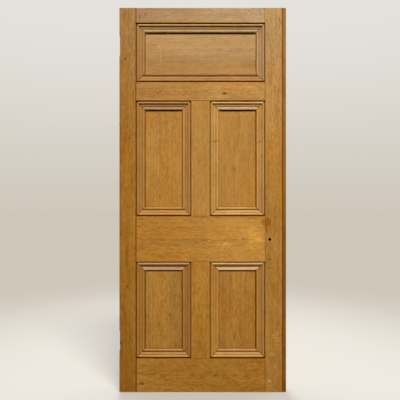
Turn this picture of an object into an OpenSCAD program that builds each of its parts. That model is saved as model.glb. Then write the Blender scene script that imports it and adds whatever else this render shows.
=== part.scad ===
// Five-panel door leaf of stripped pine: stiles, rails and muntins joined by wedged through tenons,
// flat panels held loose in ploughed grooves, and mitred mouldings planted round each panel on both faces.
// X runs from the hinge edge to the lock edge, -Y faces the front, +Z is up, and the origin is at the
// middle of the bottom edge. Millimetres.

/* [Leaf] */
// Height of the leaf
leaf_h = 2032; // [1980:1:2100]
// Width of the leaf over the lipping
leaf_w = 882; // [840:1:940]
// Thickness of the stiles, rails and muntins
leaf_t = 44; // [40:0.5:54]
// Width of the chamfer that eases each long arris
arris = 1; // [0.5:0.1:2]

/* [Stiles and muntins] */
// Width of the hinge stile
hinge_stile_w = 88; // [80:1:110]
// Width of the lock stile without its lipping
lock_stile_w = 93; // [85:1:115]
// Width of the lipping glued to the lock edge
lipping_w = 19; // [12:0.5:25]
// Radius of the lipping's outer arrises
lipping_r = 5; // [2:0.5:8]
// Width of the muntins
muntin_w = 101; // [85:1:120]

/* [Rails and openings] */
// Height of the top rail
top_rail_h = 80; // [74:1:110]
// Height of the frieze rail
frieze_rail_h = 100; // [90:1:125]
// Height of the lock rail
lock_rail_h = 243; // [225:1:280]
// Height of the bottom rail
bottom_rail_h = 180; // [170:1:220]
// Height of the top opening
top_opening_h = 311; // [260:1:340]
// Height of the two upper openings
upper_opening_h = 609; // [560:1:640]

/* [Panels] */
// Thickness of the panels
panel_t = 18; // [14:0.5:20]
// Slack between a panel and each cheek of its groove
panel_slack = 0.1; // [0.05:0.05:0.3]
// Depth of the grooves that hold the panels
groove_depth = 12; // [9:0.5:14]
// Room left for a panel to swell at the bottom of each groove
swell_gap = 1.5; // [0.5:0.5:3]

/* [Tenons] */
// Height of the top rail's haunch, above its tenon
top_haunch_h = 30; // [20:1:34]
// Height of each of the lock rail's twin tenons
lock_tenon_h = 75; // [60:1:80]
// Height of the bottom rail's haunch, below its lower tenon
bottom_haunch_h = 30; // [20:1:36]
// Height of each of the bottom rail's twin tenons
bottom_tenon_h = 55; // [45:1:58]
// Length of the wedges beside each through tenon
wedge_l = 60; // [40:1:65]
// Thickness of the wedges at their outer end
wedge_t = 5; // [3:0.5:7]
// Length of the muntins' stub tenons
stub_l = 40; // [25:1:45]
// Room past the end of a stub tenon
stub_gap = 1; // [0.5:0.5:3]

/* [Moulding] */
// Depth of the bead's crest below the face of the leaf
crest_set = 0.5; // [0.2:0.1:1.5]
// Radius of the bead beside the frame
bead_r = 6.2; // [4:0.1:6.8]
// Width of the quirk inside the bead
quirk_w = 3; // [1.5:0.1:4]
// Depth of the quirk below the bead's springing
quirk_depth = 1.5; // [0.5:0.1:3]
// Width of the fillet
fillet_w = 10; // [6:0.5:12]
// Depth of the fillet below the face of the leaf
fillet_drop = 7.5; // [6.5:0.1:8]
// Radius of the cove
cove_r = 3.5; // [2.5:0.1:4]
// Radius of the two ends of the roll
roll_r = 5.2; // [4:0.1:6]
// Width of the roll's slope between its round ends
roll_flat = 6; // [3:0.5:10]
// Rise of the roll's slope towards the panel
roll_rise = 1.5; // [0.5:0.1:3]

/* [Hinge seats and spindle hole] */
// Length of each hinge recess
hinge_l = 102; // [76:1:127]
// Width of each hinge recess, in from the front face
hinge_leaf_w = 36; // [30:0.5:37]
// Depth of each hinge recess
hinge_recess_d = 3; // [2:0.1:5]
// Distance from the top of the leaf to the upper recess
hinge_from_top = 150; // [120:1:200]
// Distance from the foot of the leaf to the lower recess
hinge_from_foot = 219; // [190:1:260]
// Radius of the old screw holes
screw_r = 2; // [1.5:0.1:2.5]
// Depth of the old screw holes
screw_l = 32; // [20:1:45]
// Distance from the outer screw holes to the ends of the recess
screw_end = 13; // [9:0.5:16]
// Distance from the rows of screw holes to the sides of the recess
screw_side = 11; // [8:0.5:13]
// Spacing of the two inner screw holes
screw_inner_spacing = 26; // [20:1:34]
// Radius of the spindle hole
spindle_r = 7.5; // [6:0.1:10]
// Depth of the spindle hole, in from the front face
spindle_depth = 36; // [20:1:40]
// Distance from the spindle hole to the lock stile's outer edge
spindle_inset = 67.5; // [45:0.5:70]
// Distance from the spindle hole down from the middle of the lock rail
spindle_drop = 2.5; // [-10:0.5:10]

/* [Hidden] */
$fn = 64;
cut_over = 1;
// Depth of the roll's slope below the common tangent of its round ends
slope_set = 0.01;
along_x = [0, -90, 180];
upright = [90, 0, 0];

stile_pine = [0.66, 0.46, 0.22];
rail_pine = [0.70, 0.50, 0.25];
panel_pine = [0.68, 0.47, 0.24];
moulding_pine = [0.72, 0.53, 0.30];
lipping_pine = [0.50, 0.33, 0.14];
wedge_pine = [0.62, 0.44, 0.22];

hinge_edge = -leaf_w / 2;
lock_edge = leaf_w / 2 - lipping_w;
left_shoulder = hinge_edge + hinge_stile_w;
right_shoulder = lock_edge - lock_stile_w;
rail_l = right_shoulder - left_shoulder;
opening_w = (rail_l - muntin_w) / 2;
muntin_left = left_shoulder + opening_w;
muntin_right = muntin_left + muntin_w;

top_rail_low = leaf_h - top_rail_h;
frieze_top = top_rail_low - top_opening_h;
frieze_low = frieze_top - frieze_rail_h;
lock_rail_top = frieze_low - upper_opening_h;
lock_rail_low = lock_rail_top - lock_rail_h;

front = -leaf_t / 2;
recess = (leaf_t - panel_t) / 2;
groove_w = panel_t + 2 * panel_slack;
panel_edge = groove_depth - swell_gap;

bottom_tenon_top = bottom_rail_h - groove_depth;
lock_tenon_low = lock_rail_low + groove_depth;
lock_tenon_top = lock_rail_top - groove_depth;
TOP_TENONS = [[top_rail_low + groove_depth, leaf_h - top_haunch_h]];
FRIEZE_TENONS = [[frieze_low + groove_depth, frieze_top - groove_depth]];
LOCK_TENONS = [[lock_tenon_low, lock_tenon_low + lock_tenon_h], [lock_tenon_top - lock_tenon_h, lock_tenon_top]];
BOTTOM_TENONS = [[bottom_haunch_h, bottom_haunch_h + bottom_tenon_h],
    [bottom_tenon_top - bottom_tenon_h, bottom_tenon_top]];
TENONS = concat(TOP_TENONS, FRIEZE_TENONS, LOCK_TENONS, BOTTOM_TENONS);

bead_v = -crest_set - bead_r;
quirk_u = 2 * bead_r;
quirk_v = bead_v - quirk_depth;
fillet_u = quirk_u + quirk_w;
fillet_v = -fillet_drop;
hollow_u = fillet_u + fillet_w + cove_r;
hollow_v = fillet_v - cove_r;
roll_outer = [hollow_u + roll_r, hollow_v];
roll_inner = roll_outer + [roll_flat, roll_rise];
roll_tilt = atan2(roll_rise, roll_flat);
roll_crest = (roll_r - slope_set) * [-sin(roll_tilt), cos(roll_tilt)];
moulding_w = roll_inner[0] + roll_r;

upper_hinge_z = leaf_h - hinge_from_top - hinge_l / 2;
lower_hinge_z = hinge_from_foot + hinge_l / 2;
screw_outer_spacing = hinge_l - 2 * screw_end;
spindle_x = lock_edge - spindle_inset;
spindle_z = (lock_rail_low + lock_rail_top) / 2 - spindle_drop;

// Each opening: its name, then its left, right, lower and upper edges
OPENINGS = [
    ["top", left_shoulder, right_shoulder, frieze_top, top_rail_low],
    ["upper_left", left_shoulder, muntin_left, lock_rail_top, frieze_low],
    ["upper_right", muntin_right, right_shoulder, lock_rail_top, frieze_low],
    ["lower_left", left_shoulder, muntin_left, bottom_rail_h, lock_rail_low],
    ["lower_right", muntin_right, right_shoulder, bottom_rail_h, lock_rail_low]
];
FACES = ["front", "back"];
EDGES = ["head", "sill", "left", "right"];

function panel_name(opening) = str(opening[0], "_panel");
function moulding_name(face, opening, edge) = str(face, "_", opening[0], "_", edge, "_moulding");

// Section of a board with eased arrises, its width from 0 and its thickness about the middle
module board_section(w) {
    t = leaf_t / 2;
    polygon([
        [arris, -t], [w - arris, -t], [w, -t + arris], [w, t - arris],
        [w - arris, t], [arris, t], [0, t - arris], [0, -t + arris]
    ]);
}

// Upright plate of the groove's width, drawn by its corners in X and Z
module groove_plate(corners) {
    rotate(upright)
        linear_extrude(groove_w, center = true)
            polygon(corners);
}

module groove_block(left, right, low, top) {
    groove_plate([[left, low], [right, low], [right, top], [left, top]]);
}

// Mortise through a stile, drawn inwards from its outer edge, with ends that flare to take wedges
module wedged_mortise(stile_w, tenon) {
    inner = stile_w + cut_over;
    mouth_low = tenon[0] - wedge_t;
    mouth_top = tenon[1] + wedge_t;
    groove_plate([
        [-cut_over, mouth_low], [0, mouth_low], [wedge_l, tenon[0]], [inner, tenon[0]],
        [inner, tenon[1]], [wedge_l, tenon[1]], [0, mouth_top], [-cut_over, mouth_top]
    ]);
}

module wedge_pair(tenon) {
    groove_plate([[0, tenon[0]], [wedge_l, tenon[0]], [0, tenon[0] - wedge_t]]);
    groove_plate([[0, tenon[1]], [wedge_l, tenon[1]], [0, tenon[1] + wedge_t]]);
}

// Stile drawn inwards from its outer edge, with its panel groove and its mortises
module stile(w) {
    difference() {
        linear_extrude(leaf_h)
            board_section(w);
        groove_block(w - groove_depth, w + cut_over, -cut_over, leaf_h + cut_over);
        for (tenon = TENONS)
            wedged_mortise(w, tenon);
    }
}

// Recess for one hinge leaf, open at the front face, with its old screw holes
module hinge_seat(z) {
    translate([-cut_over, front - cut_over, z - hinge_l / 2])
        cube([cut_over + hinge_recess_d, cut_over + hinge_leaf_w, hinge_l]);
    for (side = [-1, 1]) {
        screw_hole(front + hinge_leaf_w - screw_side, z + side * screw_outer_spacing / 2);
        screw_hole(front + screw_side, z + side * screw_inner_spacing / 2);
    }
}

module screw_hole(y, z) {
    translate([0, y, z])
        rotate([0, 90, 0])
            cylinder(r = screw_r, h = hinge_recess_d + screw_l);
}

// Rail between the stiles, with its tenons and the haunch that fills the stiles' grooves
module rail(low, top, tenons, groove_low, groove_top) {
    haunch_low = groove_low ? low + groove_depth : low;
    haunch_top = groove_top ? top - groove_depth : top;
    difference() {
        union() {
            translate([left_shoulder, 0, low])
                rotate(along_x)
                    linear_extrude(rail_l)
                        board_section(top - low);
            groove_block(left_shoulder - groove_depth, right_shoulder + groove_depth, haunch_low, haunch_top);
            for (tenon = tenons)
                groove_block(hinge_edge, lock_edge, tenon[0], tenon[1]);
        }
        if (groove_low)
            rail_groove(low - cut_over, haunch_low);
        if (groove_top)
            rail_groove(haunch_top, top + cut_over);
    }
}

module rail_groove(low, top) {
    groove_block(left_shoulder - cut_over, right_shoulder + cut_over, low, top);
}

module stub(low, top) {
    groove_block(muntin_left + groove_depth, muntin_right - groove_depth, low, top);
}

// Stopped mortises for a muntin's stub tenon, in a rail's lower or upper edge
module stub_mortise_below(rail_low) {
    stub(rail_low - cut_over, rail_low + stub_l + stub_gap);
}

module stub_mortise_above(rail_top) {
    stub(rail_top - stub_l - stub_gap, rail_top + cut_over);
}

// Muntin between two rails, grooved on both edges, with a stub tenon at each end
module muntin(low, top) {
    difference() {
        translate([muntin_left, 0, low])
            linear_extrude(top - low)
                board_section(muntin_w);
        groove_block(muntin_left - cut_over, muntin_left + groove_depth, low - cut_over, top + cut_over);
        groove_block(muntin_right - groove_depth, muntin_right + cut_over, low - cut_over, top + cut_over);
    }
    stub(low - stub_l, top + stub_l);
}

module half_disc(centre, r) {
    translate(centre)
        intersection() {
            circle(r);
            translate([-r, 0])
                square([2 * r, r]);
        }
}

// Section of the moulding: inwards from the frame along X, and out from the face of the leaf along Y.
// A bead, a quirk, a fillet, a cove and a roll that rises towards the panel.
module moulding_section() {
    difference() {
        polygon([
            [0, -recess], [hollow_u, -recess], [hollow_u, fillet_v], [fillet_u, fillet_v],
            [fillet_u, quirk_v], [quirk_u, quirk_v], [quirk_u, bead_v], [0, bead_v]
        ]);
        translate([hollow_u, fillet_v])
            circle(cove_r);
    }
    polygon([
        [hollow_u, -recess], [moulding_w, -recess], [moulding_w, roll_inner[1]], roll_inner,
        roll_inner + roll_crest, roll_outer + roll_crest, roll_outer, [hollow_u, hollow_v]
    ]);
    half_disc([bead_r, bead_v], bead_r);
    half_disc(roll_outer, roll_r);
    half_disc(roll_inner, roll_r);
}

// Length of moulding along X, mitred at both ends
module mitred_moulding(length) {
    u = moulding_w + cut_over;
    intersection() {
        rotate(along_x)
            linear_extrude(length)
                moulding_section();
        translate([0, recess + cut_over, 0])
            rotate(upright)
                linear_extrude(recess + 2 * cut_over)
                    polygon([[-cut_over, -cut_over], [length + cut_over, -cut_over], [length - u, u], [u, u]]);
    }
}

// The four lengths round the front of an opening
module planted_moulding(opening, edge) {
    left = opening[1];
    right = opening[2];
    low = opening[3];
    top = opening[4];
    if (edge == "sill")
        translate([left, front, low])
            mitred_moulding(right - left);
    if (edge == "head")
        translate([right, front, top])
            rotate([0, 180, 0])
                mitred_moulding(right - left);
    if (edge == "left")
        translate([left, front, top])
            rotate([0, 90, 0])
                mitred_moulding(top - low);
    if (edge == "right")
        translate([right, front, low])
            rotate([0, -90, 0])
                mitred_moulding(top - low);
}

module hinge_stile() {
    color(stile_pine)
        translate([hinge_edge, 0, 0])
            difference() {
                stile(hinge_stile_w);
                hinge_seat(upper_hinge_z);
                hinge_seat(lower_hinge_z);
            }
}

module lock_stile() {
    color(stile_pine)
        difference() {
            translate([lock_edge, 0, 0])
                mirror([1, 0, 0])
                    stile(lock_stile_w);
            translate([spindle_x, front + spindle_depth, spindle_z])
                rotate(upright)
                    cylinder(r = spindle_r, h = spindle_depth + cut_over);
        }
}

module lock_edge_lipping() {
    color(lipping_pine)
        translate([lock_edge, 0, 0])
            linear_extrude(leaf_h)
                difference() {
                    board_section(lipping_w);
                    for (side = [0, 1])
                        mirror([0, side])
                            translate([lipping_w - lipping_r, leaf_t / 2 - lipping_r])
                                difference() {
                                    square(lipping_r + cut_over);
                                    circle(lipping_r);
                                }
                }
}

module top_rail() {
    color(rail_pine)
        rail(top_rail_low, leaf_h, TOP_TENONS, true, false);
}

module frieze_rail() {
    color(rail_pine)
        difference() {
            rail(frieze_low, frieze_top, FRIEZE_TENONS, true, true);
            stub_mortise_below(frieze_low);
        }
}

module lock_rail() {
    color(rail_pine)
        difference() {
            rail(lock_rail_low, lock_rail_top, LOCK_TENONS, true, true);
            stub_mortise_below(lock_rail_low);
            stub_mortise_above(lock_rail_top);
        }
}

module bottom_rail() {
    color(rail_pine)
        difference() {
            rail(0, bottom_rail_h, BOTTOM_TENONS, false, true);
            stub_mortise_above(bottom_rail_h);
        }
}

module upper_muntin() {
    color(stile_pine)
        muntin(lock_rail_top, frieze_low);
}

module lower_muntin() {
    color(stile_pine)
        muntin(bottom_rail_h, lock_rail_low);
}

// Two wedges beside each tenon's end, in both stiles
module tenon_wedges() {
    color(wedge_pine)
        for (tenon = TENONS) {
            translate([hinge_edge, 0, 0])
                wedge_pair(tenon);
            translate([lock_edge, 0, 0])
                mirror([1, 0, 0])
                    wedge_pair(tenon);
        }
}

// Flat panel, loose in the grooves round its opening
module panel(opening) {
    color(panel_pine)
        translate([opening[1] - panel_edge, -panel_t / 2, opening[3] - panel_edge])
            cube([
                opening[2] - opening[1] + 2 * panel_edge,
                panel_t,
                opening[4] - opening[3] + 2 * panel_edge
            ]);
}

module moulding(face, opening, edge) {
    color(moulding_pine)
        mirror([0, face == "back" ? 1 : 0, 0])
            planted_moulding(opening, edge);
}

hinge_stile();
lock_stile();
lock_edge_lipping();
top_rail();
frieze_rail();
lock_rail();
bottom_rail();
upper_muntin();
lower_muntin();
tenon_wedges();
for (opening = OPENINGS)
    panel(opening);
for (face = FACES, opening = OPENINGS, edge = EDGES)
    moulding(face, opening, edge);
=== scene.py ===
"""The looks of a five-panel door leaf of stripped pine, around its CAD frame.

Metres, in the frame of the CAD: X runs from the hinge edge to the lock edge, -Y faces the front, +Z is up.
"""
import math
from collections import namedtuple

import bmesh
import bpy
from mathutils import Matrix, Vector, noise


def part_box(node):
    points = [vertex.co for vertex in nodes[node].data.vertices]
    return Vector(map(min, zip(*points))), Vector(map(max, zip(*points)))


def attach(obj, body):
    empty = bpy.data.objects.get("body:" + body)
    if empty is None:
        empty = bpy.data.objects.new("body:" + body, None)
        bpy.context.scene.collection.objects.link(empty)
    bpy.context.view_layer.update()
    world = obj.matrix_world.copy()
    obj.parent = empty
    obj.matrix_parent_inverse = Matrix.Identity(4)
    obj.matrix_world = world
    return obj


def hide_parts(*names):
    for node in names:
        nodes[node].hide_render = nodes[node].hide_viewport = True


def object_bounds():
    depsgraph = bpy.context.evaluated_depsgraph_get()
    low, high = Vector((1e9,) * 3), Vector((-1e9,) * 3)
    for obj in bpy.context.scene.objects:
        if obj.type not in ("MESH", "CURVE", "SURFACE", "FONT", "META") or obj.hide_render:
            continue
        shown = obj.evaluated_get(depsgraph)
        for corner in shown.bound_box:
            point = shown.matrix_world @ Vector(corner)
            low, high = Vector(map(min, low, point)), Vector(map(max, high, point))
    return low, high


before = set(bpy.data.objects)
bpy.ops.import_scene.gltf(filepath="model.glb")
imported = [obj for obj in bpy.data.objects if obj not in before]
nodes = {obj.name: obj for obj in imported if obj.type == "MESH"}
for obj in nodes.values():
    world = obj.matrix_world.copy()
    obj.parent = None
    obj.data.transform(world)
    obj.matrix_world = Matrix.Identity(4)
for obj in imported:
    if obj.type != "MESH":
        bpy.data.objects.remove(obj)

cad_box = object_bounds()

OPENINGS = ("top", "upper_left", "upper_right", "lower_left", "lower_right")
EDGES = ("head", "sill", "left", "right")
LEVEL_EDGES = ("head", "sill")
FACES = ("front", "back")
MM = 0.001

# Camera: square on to the front face, a little left of the leaf's middle
PHOTO_PIXELS = 400
PIXEL = 5.2875 * MM
CAMERA_X = -0.0148
CAMERA_DISTANCE = 2.12
SENSOR = 36.0

# Light and stage
BACKGROUND = (0.62, 0.57, 0.49)
# The backdrop's colour higher up: paler, as painted light from above
BACKGROUND_HIGH = (0.78, 0.76, 0.72)
FLOOR = (0.50, 0.48, 0.44)
FLOOR_HALF = 40.0
FLOOR_FADE = (0.9, 3.2)
# Strength of the light from above and from below, and how it and the backdrop's colour change with height
SKY = 0.40
GROUND = 0.07
SKY_RISE = (-0.3, 1.0)
BACKDROP_RISE = (-0.1, 0.45)
# Each lamp: its place, the point it faces, its size and its power in watts
LAMPS = {
    "key": ((1.00, -3.6, 7.0), (0.0, 0.0, 1.0), (3.0, 1.5), 560.0),
    "back_fill": ((-0.6, 3.4, 4.4), (0.0, 0.0, 1.0), (2.4, 1.4), 160.0),
    "hinge_side_fill": ((-3.4, 0.9, 2.6), (-0.44, 0.0, 1.0), (2.0, 1.6), 40.0),
    "lock_side_fill": ((3.4, 0.9, 2.6), (0.44, 0.0, 1.0), (2.0, 1.6), 40.0),
}

# Colours: some multiply a piece's own colour, the dark ones stand by themselves
PALE = (1.31, 1.41, 1.62)
DEEP = (0.69, 0.57, 0.39)
WARM = (1.035, 0.985, 0.86)
COOL = (0.972, 1.015, 1.12)
# Pale of rubbed wood, also used as painted highlight on the mouldings and beside seams
WEAR_AND_HIGHLIGHT = (1.22, 1.34, 1.75)
WARMED = (0.95, 0.80, 0.42)
# Dirt, and painted shadow in crevices, under the head mouldings and inside the spindle hole
GRIME_AND_SHADOW = (0.024, 0.007, 0.0008)
SHADE = (0.085, 0.034, 0.006)
# Dark line colour for joints and dirt, and painted shadow in crevices and under the rolls of the sills
SEAM_AND_SHADOW = (0.125, 0.034, 0.0008)

# Surface: gloss, roughness of clean wood and what streaks add to it, roughness of dirt and painted shadow,
# strength of the bump
GLOSS = 0.14
ROUGH = 0.36
ROUGH_STREAK = 0.3
ROUGH_DIRT_AND_SHADOW = 0.75
BUMP = 0.6
# Heights in metres that parts of the grain give to the bump
RELIEF = {"Late": 0.00006, "Streak": 0.00025, "Fibre": 0.00005}

# Growth rings: how close they are, how far and how often they sway and ripple, and how uneven the years are
RINGS_PER_M = 330.0
SWAY = (0.03, 0.03, 0.0)
SWAYS_PER_M = (4.0, 4.0, 1.0)
RIPPLE = (0.0026, 0.0026, 0.0)
RIPPLES_PER_M = (40.0, 40.0, 5.0)
YEAR_SHIFT = 5.0
YEARS_PER_M = (30.0, 1.0, 1.0)
# Late wood through the width of one ring
RING_STOPS = ((0.0, 0.0), (0.4, 0.1), (0.8, 0.7), (0.93, 1.0), (1.0, 0.0))
# Noises: features per metre across and along the grain, detail, roughness, and whether they sway with rings
GRAIN_NOISES = {
    "Streak": (240.0, 2.6, 3.0, 0.6, False),
    "Fibre": (1300.0, 16.0, 2.0, 0.5, False),
    "Tone": (9.0, 1.8, 3.0, 0.6, False),
    "Band": (80.0, 1.5, 3.0, 0.65, True),
    "Mottle": (26.0, 11.0, 3.0, 0.6, False),
    "Grit": (150.0, 42.0, 3.0, 0.7, True),
    "Warm": (17.0, 3.2, 3.0, 0.6, False),
    "Pore": (420.0, 45.0, 2.0, 0.6, False),
    "Resin": (390.0, 22.0, 2.0, 0.6, True),
}
# Levels of noise between which pores, resin and warm patches show, and of tone where resin gathers
PORE_LEVELS = (0.64, 0.74)
RESIN_LEVELS = (0.58, 0.70)
RESIN_TONE = (0.35, 0.6)
WARM_LEVELS = (0.3, 0.7)
# What deepens the wood's colour: how strongly, and the level at which it changes nothing
DEEPENING = {
    "Tone": (0.75, 0.5),
    "Band": (0.55, 0.5),
    "Mottle": (0.8, 0.5),
    "Streak": (0.85, 0.5),
    "Grit": (1.1, 0.5),
    "Late": (0.42, 0.36),
    "Fibre": (0.7, 0.5),
    "Fleck": (0.9, 0.04),
    "Pit": (1.0, 0.06),
}
# What the parts of a knot multiply the wood's colour by, and the strength of its flare beside its rim
KNOT_COLOURS = {"Flare": (0.62, 0.50, 0.35), "Core": (0.40, 0.28, 0.18), "Rim": (0.20, 0.13, 0.08)}
FLARE_STRENGTH = 0.5
# How often the outlines of knots and marks wobble
KNOT_WOBBLES_PER_M = (150.0, 20.0, 110.0)
MARK_WOBBLES_PER_M = (90.0, 0.0, 90.0)
# A knot in shares of its radius: how far it wobbles, where its core and its rim's sides come in, how high
# it pushes the rings, how fast that dies away, and how fast its flare does across and along the grain
KNOT_WOBBLE = 0.9
KNOT_CORE = (1.05, 0.7)
KNOT_RIM_INSIDE = (0.55, 0.95)
KNOT_RIM_OUTSIDE = (1.5, 1.05)
HUMP_HEIGHT = 1.5
HUMP_DECAY = 0.16
FLARE_DECAY = (2.2, 0.28)

# How far one step of a piece's seed moves its noise
SEED_STEP = (3.17, 5.71, 2.39)
# Heights between which a stile's colour gives way to its far colour, and places along a rail for the same
# Partly painted light: stile tops paler and bluer as painted sheen, upper rails paler to the right
TOP_SHEEN_FADE = (2.02, 1.25)
RAIL_LIGHT_FADE = (-0.33, 0.31)
# Depths between which the marks of the front come in
FRONT_DEPTHS = (-2 * MM, -6 * MM)

# How masks break up: patches per metre, and the levels of their noise between which the mask comes in
PATCHES = {
    "margin": (11.0, 0.3, 0.7),
    "shade": (14.0, 0.35, 0.75),
    "seam": (25.0, -0.15, 0.4),
    "arris": (21.0, 0.35, 0.65),
    "rim": (60.0, 0.2, 0.6),
    "wear_and_highlight": (22.0, 0.2, 0.55),
    "dirt_and_shadow": (25.0, -0.1, 0.42),
    "mitre": (30.0, -0.1, 0.42),
}
# A seam: how far its pale margin of rubbing and painted highlight, its painted shade and its warmth reach
# past its dark line, how strong they and the line are, and the share of the line that is fully dark
MARGIN_REACH = (16 * MM, 3 * MM)
MARGIN_STRENGTH = 0.28
SHADE_REACH = 5 * MM
SHADE_STRENGTH = 0.2375
SEAM_WARMTH = 0.8
LINE_STRENGTH = 0.95
LINE_CORE = 0.6
# An outer edge: how far in the rubbing and the nicks reach, and how strong, rough or deep they are
RUB_REACH = (5 * MM, 0.5 * MM)
RUB_STRENGTH = 0.55
RUB_ROUGH = 0.5
NICKS_PER_M = (34.0, 34.0, 34.0)
NICK_LEVELS = (0.60, 0.66)
NICK_REACH = (6 * MM, 2 * MM)
NICK_STRENGTH = 0.75
NICK_DEPTH = 0.7 * MM


class Graph:
    """Short calls that add linked nodes to one shader tree."""

    def __init__(self, tree):
        self.tree = tree

    def add(self, kind, **settings):
        node = self.tree.nodes.new(kind)
        for name, value in settings.items():
            setattr(node, name, value)
        return node

    def feed(self, socket, value):
        if isinstance(value, bpy.types.NodeSocket):
            self.tree.links.new(value, socket)
        else:
            socket.default_value = value

    def fed(self, kind, *values, **settings):
        """A new node with values or links in its first inputs."""
        node = self.add(kind, **settings)
        for socket, value in zip(node.inputs, values):
            self.feed(socket, value)
        return node

    def named(self, kind, values, **settings):
        """A new node with values or links in its named inputs."""
        node = self.add(kind, **settings)
        for name, value in values.items():
            self.feed(node.inputs[name], value)
        return node

    def math(self, operation, *values):
        return self.fed("ShaderNodeMath", *values, operation=operation).outputs[0]

    def times(self, a, b):
        return self.math("MULTIPLY", a, b)

    def decay(self, value, rate):
        """1 where the value is 0, and less the larger it is."""
        return self.math("EXPONENT", self.times(value, -rate))

    def vector(self, operation, *values):
        node = self.fed("ShaderNodeVectorMath", *values, operation=operation)
        return node.outputs["Value" if operation in ("LENGTH", "DOT_PRODUCT") else "Vector"]

    def split(self, vector):
        return self.fed("ShaderNodeSeparateXYZ", vector).outputs

    def join(self, x, y, z):
        return self.fed("ShaderNodeCombineXYZ", x, y, z).outputs[0]

    def noise(self, position, scale, seed, detail=2.0, roughness=0.5):
        """Noise with its own scale on each axis, in features per metre."""
        place = self.vector("MULTIPLY_ADD", position, scale, seed)
        values = {"Vector": place, "Scale": 1.0, "Detail": detail, "Roughness": roughness}
        return self.named("ShaderNodeTexNoise", values).outputs

    def smooth(self, value, low, high):
        """0 at low, 1 at high, and smooth between them."""
        node = self.fed("ShaderNodeMapRange", value, low, high, interpolation_type="SMOOTHSTEP")
        return node.outputs["Result"]

    def ramp(self, value, stops):
        """A piecewise value: stops are pairs of a place from 0 to 1 and a grey level."""
        node = self.fed("ShaderNodeValToRGB", value)
        elements = node.color_ramp.elements
        while len(elements) < len(stops):
            elements.new(1.0)
        for element, (place, level) in zip(elements, stops):
            element.position = place
            element.color = (level, level, level, 1.0)
        return node.outputs[0]

    def mix(self, factor, a, b, blend="MIX"):
        node = self.add("ShaderNodeMix", data_type="RGBA", blend_type=blend)
        self.feed(node.inputs["Factor"], factor)
        for socket, value in ((node.inputs[6], a), (node.inputs[7], b)):
            self.feed(socket, value if isinstance(value, bpy.types.NodeSocket) else (*value, 1.0))
        return node.outputs[2]

    def group(self, tree, **values):
        return self.named("ShaderNodeGroup", values, node_tree=tree).outputs


def fresh_graph(owner):
    """A graph on the emptied node tree of a material or a world."""
    owner.use_nodes = True
    owner.node_tree.nodes.clear()
    return Graph(owner.node_tree)


def new_group(name, vectors, floats, outputs):
    """A node group's graph, its inputs by name and its outputs by name."""
    tree = bpy.data.node_groups.new(name, "ShaderNodeTree")
    for kind, sockets in (("NodeSocketVector", vectors), ("NodeSocketFloat", floats)):
        for socket in sockets:
            tree.interface.new_socket(socket, in_out="INPUT", socket_type=kind)
    for socket in outputs:
        tree.interface.new_socket(socket, in_out="OUTPUT", socket_type="NodeSocketFloat")
    graph = Graph(tree)
    source = graph.add("NodeGroupInput").outputs
    sink = graph.add("NodeGroupOutput").inputs
    return graph, source, sink


def grain_group():
    """Growth rings round a pith, with streaks and fibres, in a space where Z runs along the grain."""
    graph, source, sink = new_group(
        "pine_grain",
        ("Position", "Pith", "Seed"),
        ("Tilt", "Bulge"),
        ("Late", "Streak", "Fibre", "Tone", "Band", "Mottle", "Grit", "Fleck", "Pit", "Warm"),
    )
    position = source["Position"]
    seed = source["Seed"]
    half = (0.5, 0.5, 0.5)
    sway = graph.vector("SUBTRACT", graph.noise(position, SWAYS_PER_M, seed, 1.0)["Color"], half)
    ripple = graph.vector("SUBTRACT", graph.noise(position, RIPPLES_PER_M, seed)["Color"], half)
    bent = graph.vector("MULTIPLY_ADD", sway, SWAY, position)
    bent = graph.vector("MULTIPLY_ADD", ripple, RIPPLE, bent)
    across, depth, along = graph.split(graph.vector("SUBTRACT", bent, source["Pith"]))
    depth = graph.math("MULTIPLY_ADD", along, source["Tilt"], depth)
    radius = graph.vector("LENGTH", graph.join(across, depth, 0.0))
    radius = graph.math("ADD", radius, source["Bulge"])
    years = graph.noise(graph.join(radius, 0.0, 0.0), YEARS_PER_M, seed, 1.0)["Fac"]
    phase = graph.math("MULTIPLY_ADD", radius, RINGS_PER_M, graph.times(years, YEAR_SHIFT))
    levels = {"Late": graph.ramp(graph.math("FRACT", phase), RING_STOPS)}
    for name, (wide, long, detail, roughness, swayed) in GRAIN_NOISES.items():
        place = bent if swayed else position
        levels[name] = graph.noise(place, (wide, wide, long), seed, detail, roughness)["Fac"]
    levels["Fleck"] = graph.smooth(levels.pop("Pore"), *PORE_LEVELS)
    resin = graph.smooth(levels.pop("Resin"), *RESIN_LEVELS)
    levels["Pit"] = graph.times(resin, graph.smooth(levels["Tone"], *RESIN_TONE))
    for name, level in levels.items():
        graph.feed(sink[name], level)
    return graph.tree


def knot_group():
    """A knot through the thickness of a board, in the same space as the grain."""
    graph, source, sink = new_group(
        "pine_knot", ("Position", "Centre"), ("Radius", "Stretch"), ("Core", "Rim", "Bulge", "Flare")
    )
    offset = graph.vector("SUBTRACT", source["Position"], source["Centre"])
    wobble = graph.noise(source["Position"], KNOT_WOBBLES_PER_M, source["Centre"], 2.0)["Fac"]
    across, _, along = graph.split(offset)
    across = graph.math("DIVIDE", across, source["Radius"])
    along = graph.math("DIVIDE", along, graph.times(source["Radius"], source["Stretch"]))
    away = graph.vector("LENGTH", graph.join(across, along, 0.0))
    away = graph.math("MULTIPLY_ADD", graph.math("SUBTRACT", wobble, 0.5), KNOT_WOBBLE, away)
    graph.feed(sink["Core"], graph.smooth(away, *KNOT_CORE))
    inner = graph.smooth(away, *KNOT_RIM_INSIDE)
    graph.feed(sink["Rim"], graph.times(inner, graph.smooth(away, *KNOT_RIM_OUTSIDE)))
    hump = graph.decay(graph.times(away, away), HUMP_DECAY)
    graph.feed(sink["Bulge"], graph.times(hump, graph.times(source["Radius"], HUMP_HEIGHT)))
    thin = graph.decay(graph.times(across, across), FLARE_DECAY[0])
    fade = graph.decay(graph.math("ABSOLUTE", along), FLARE_DECAY[1])
    graph.feed(sink["Flare"], graph.times(thin, fade))
    return graph.tree


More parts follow.
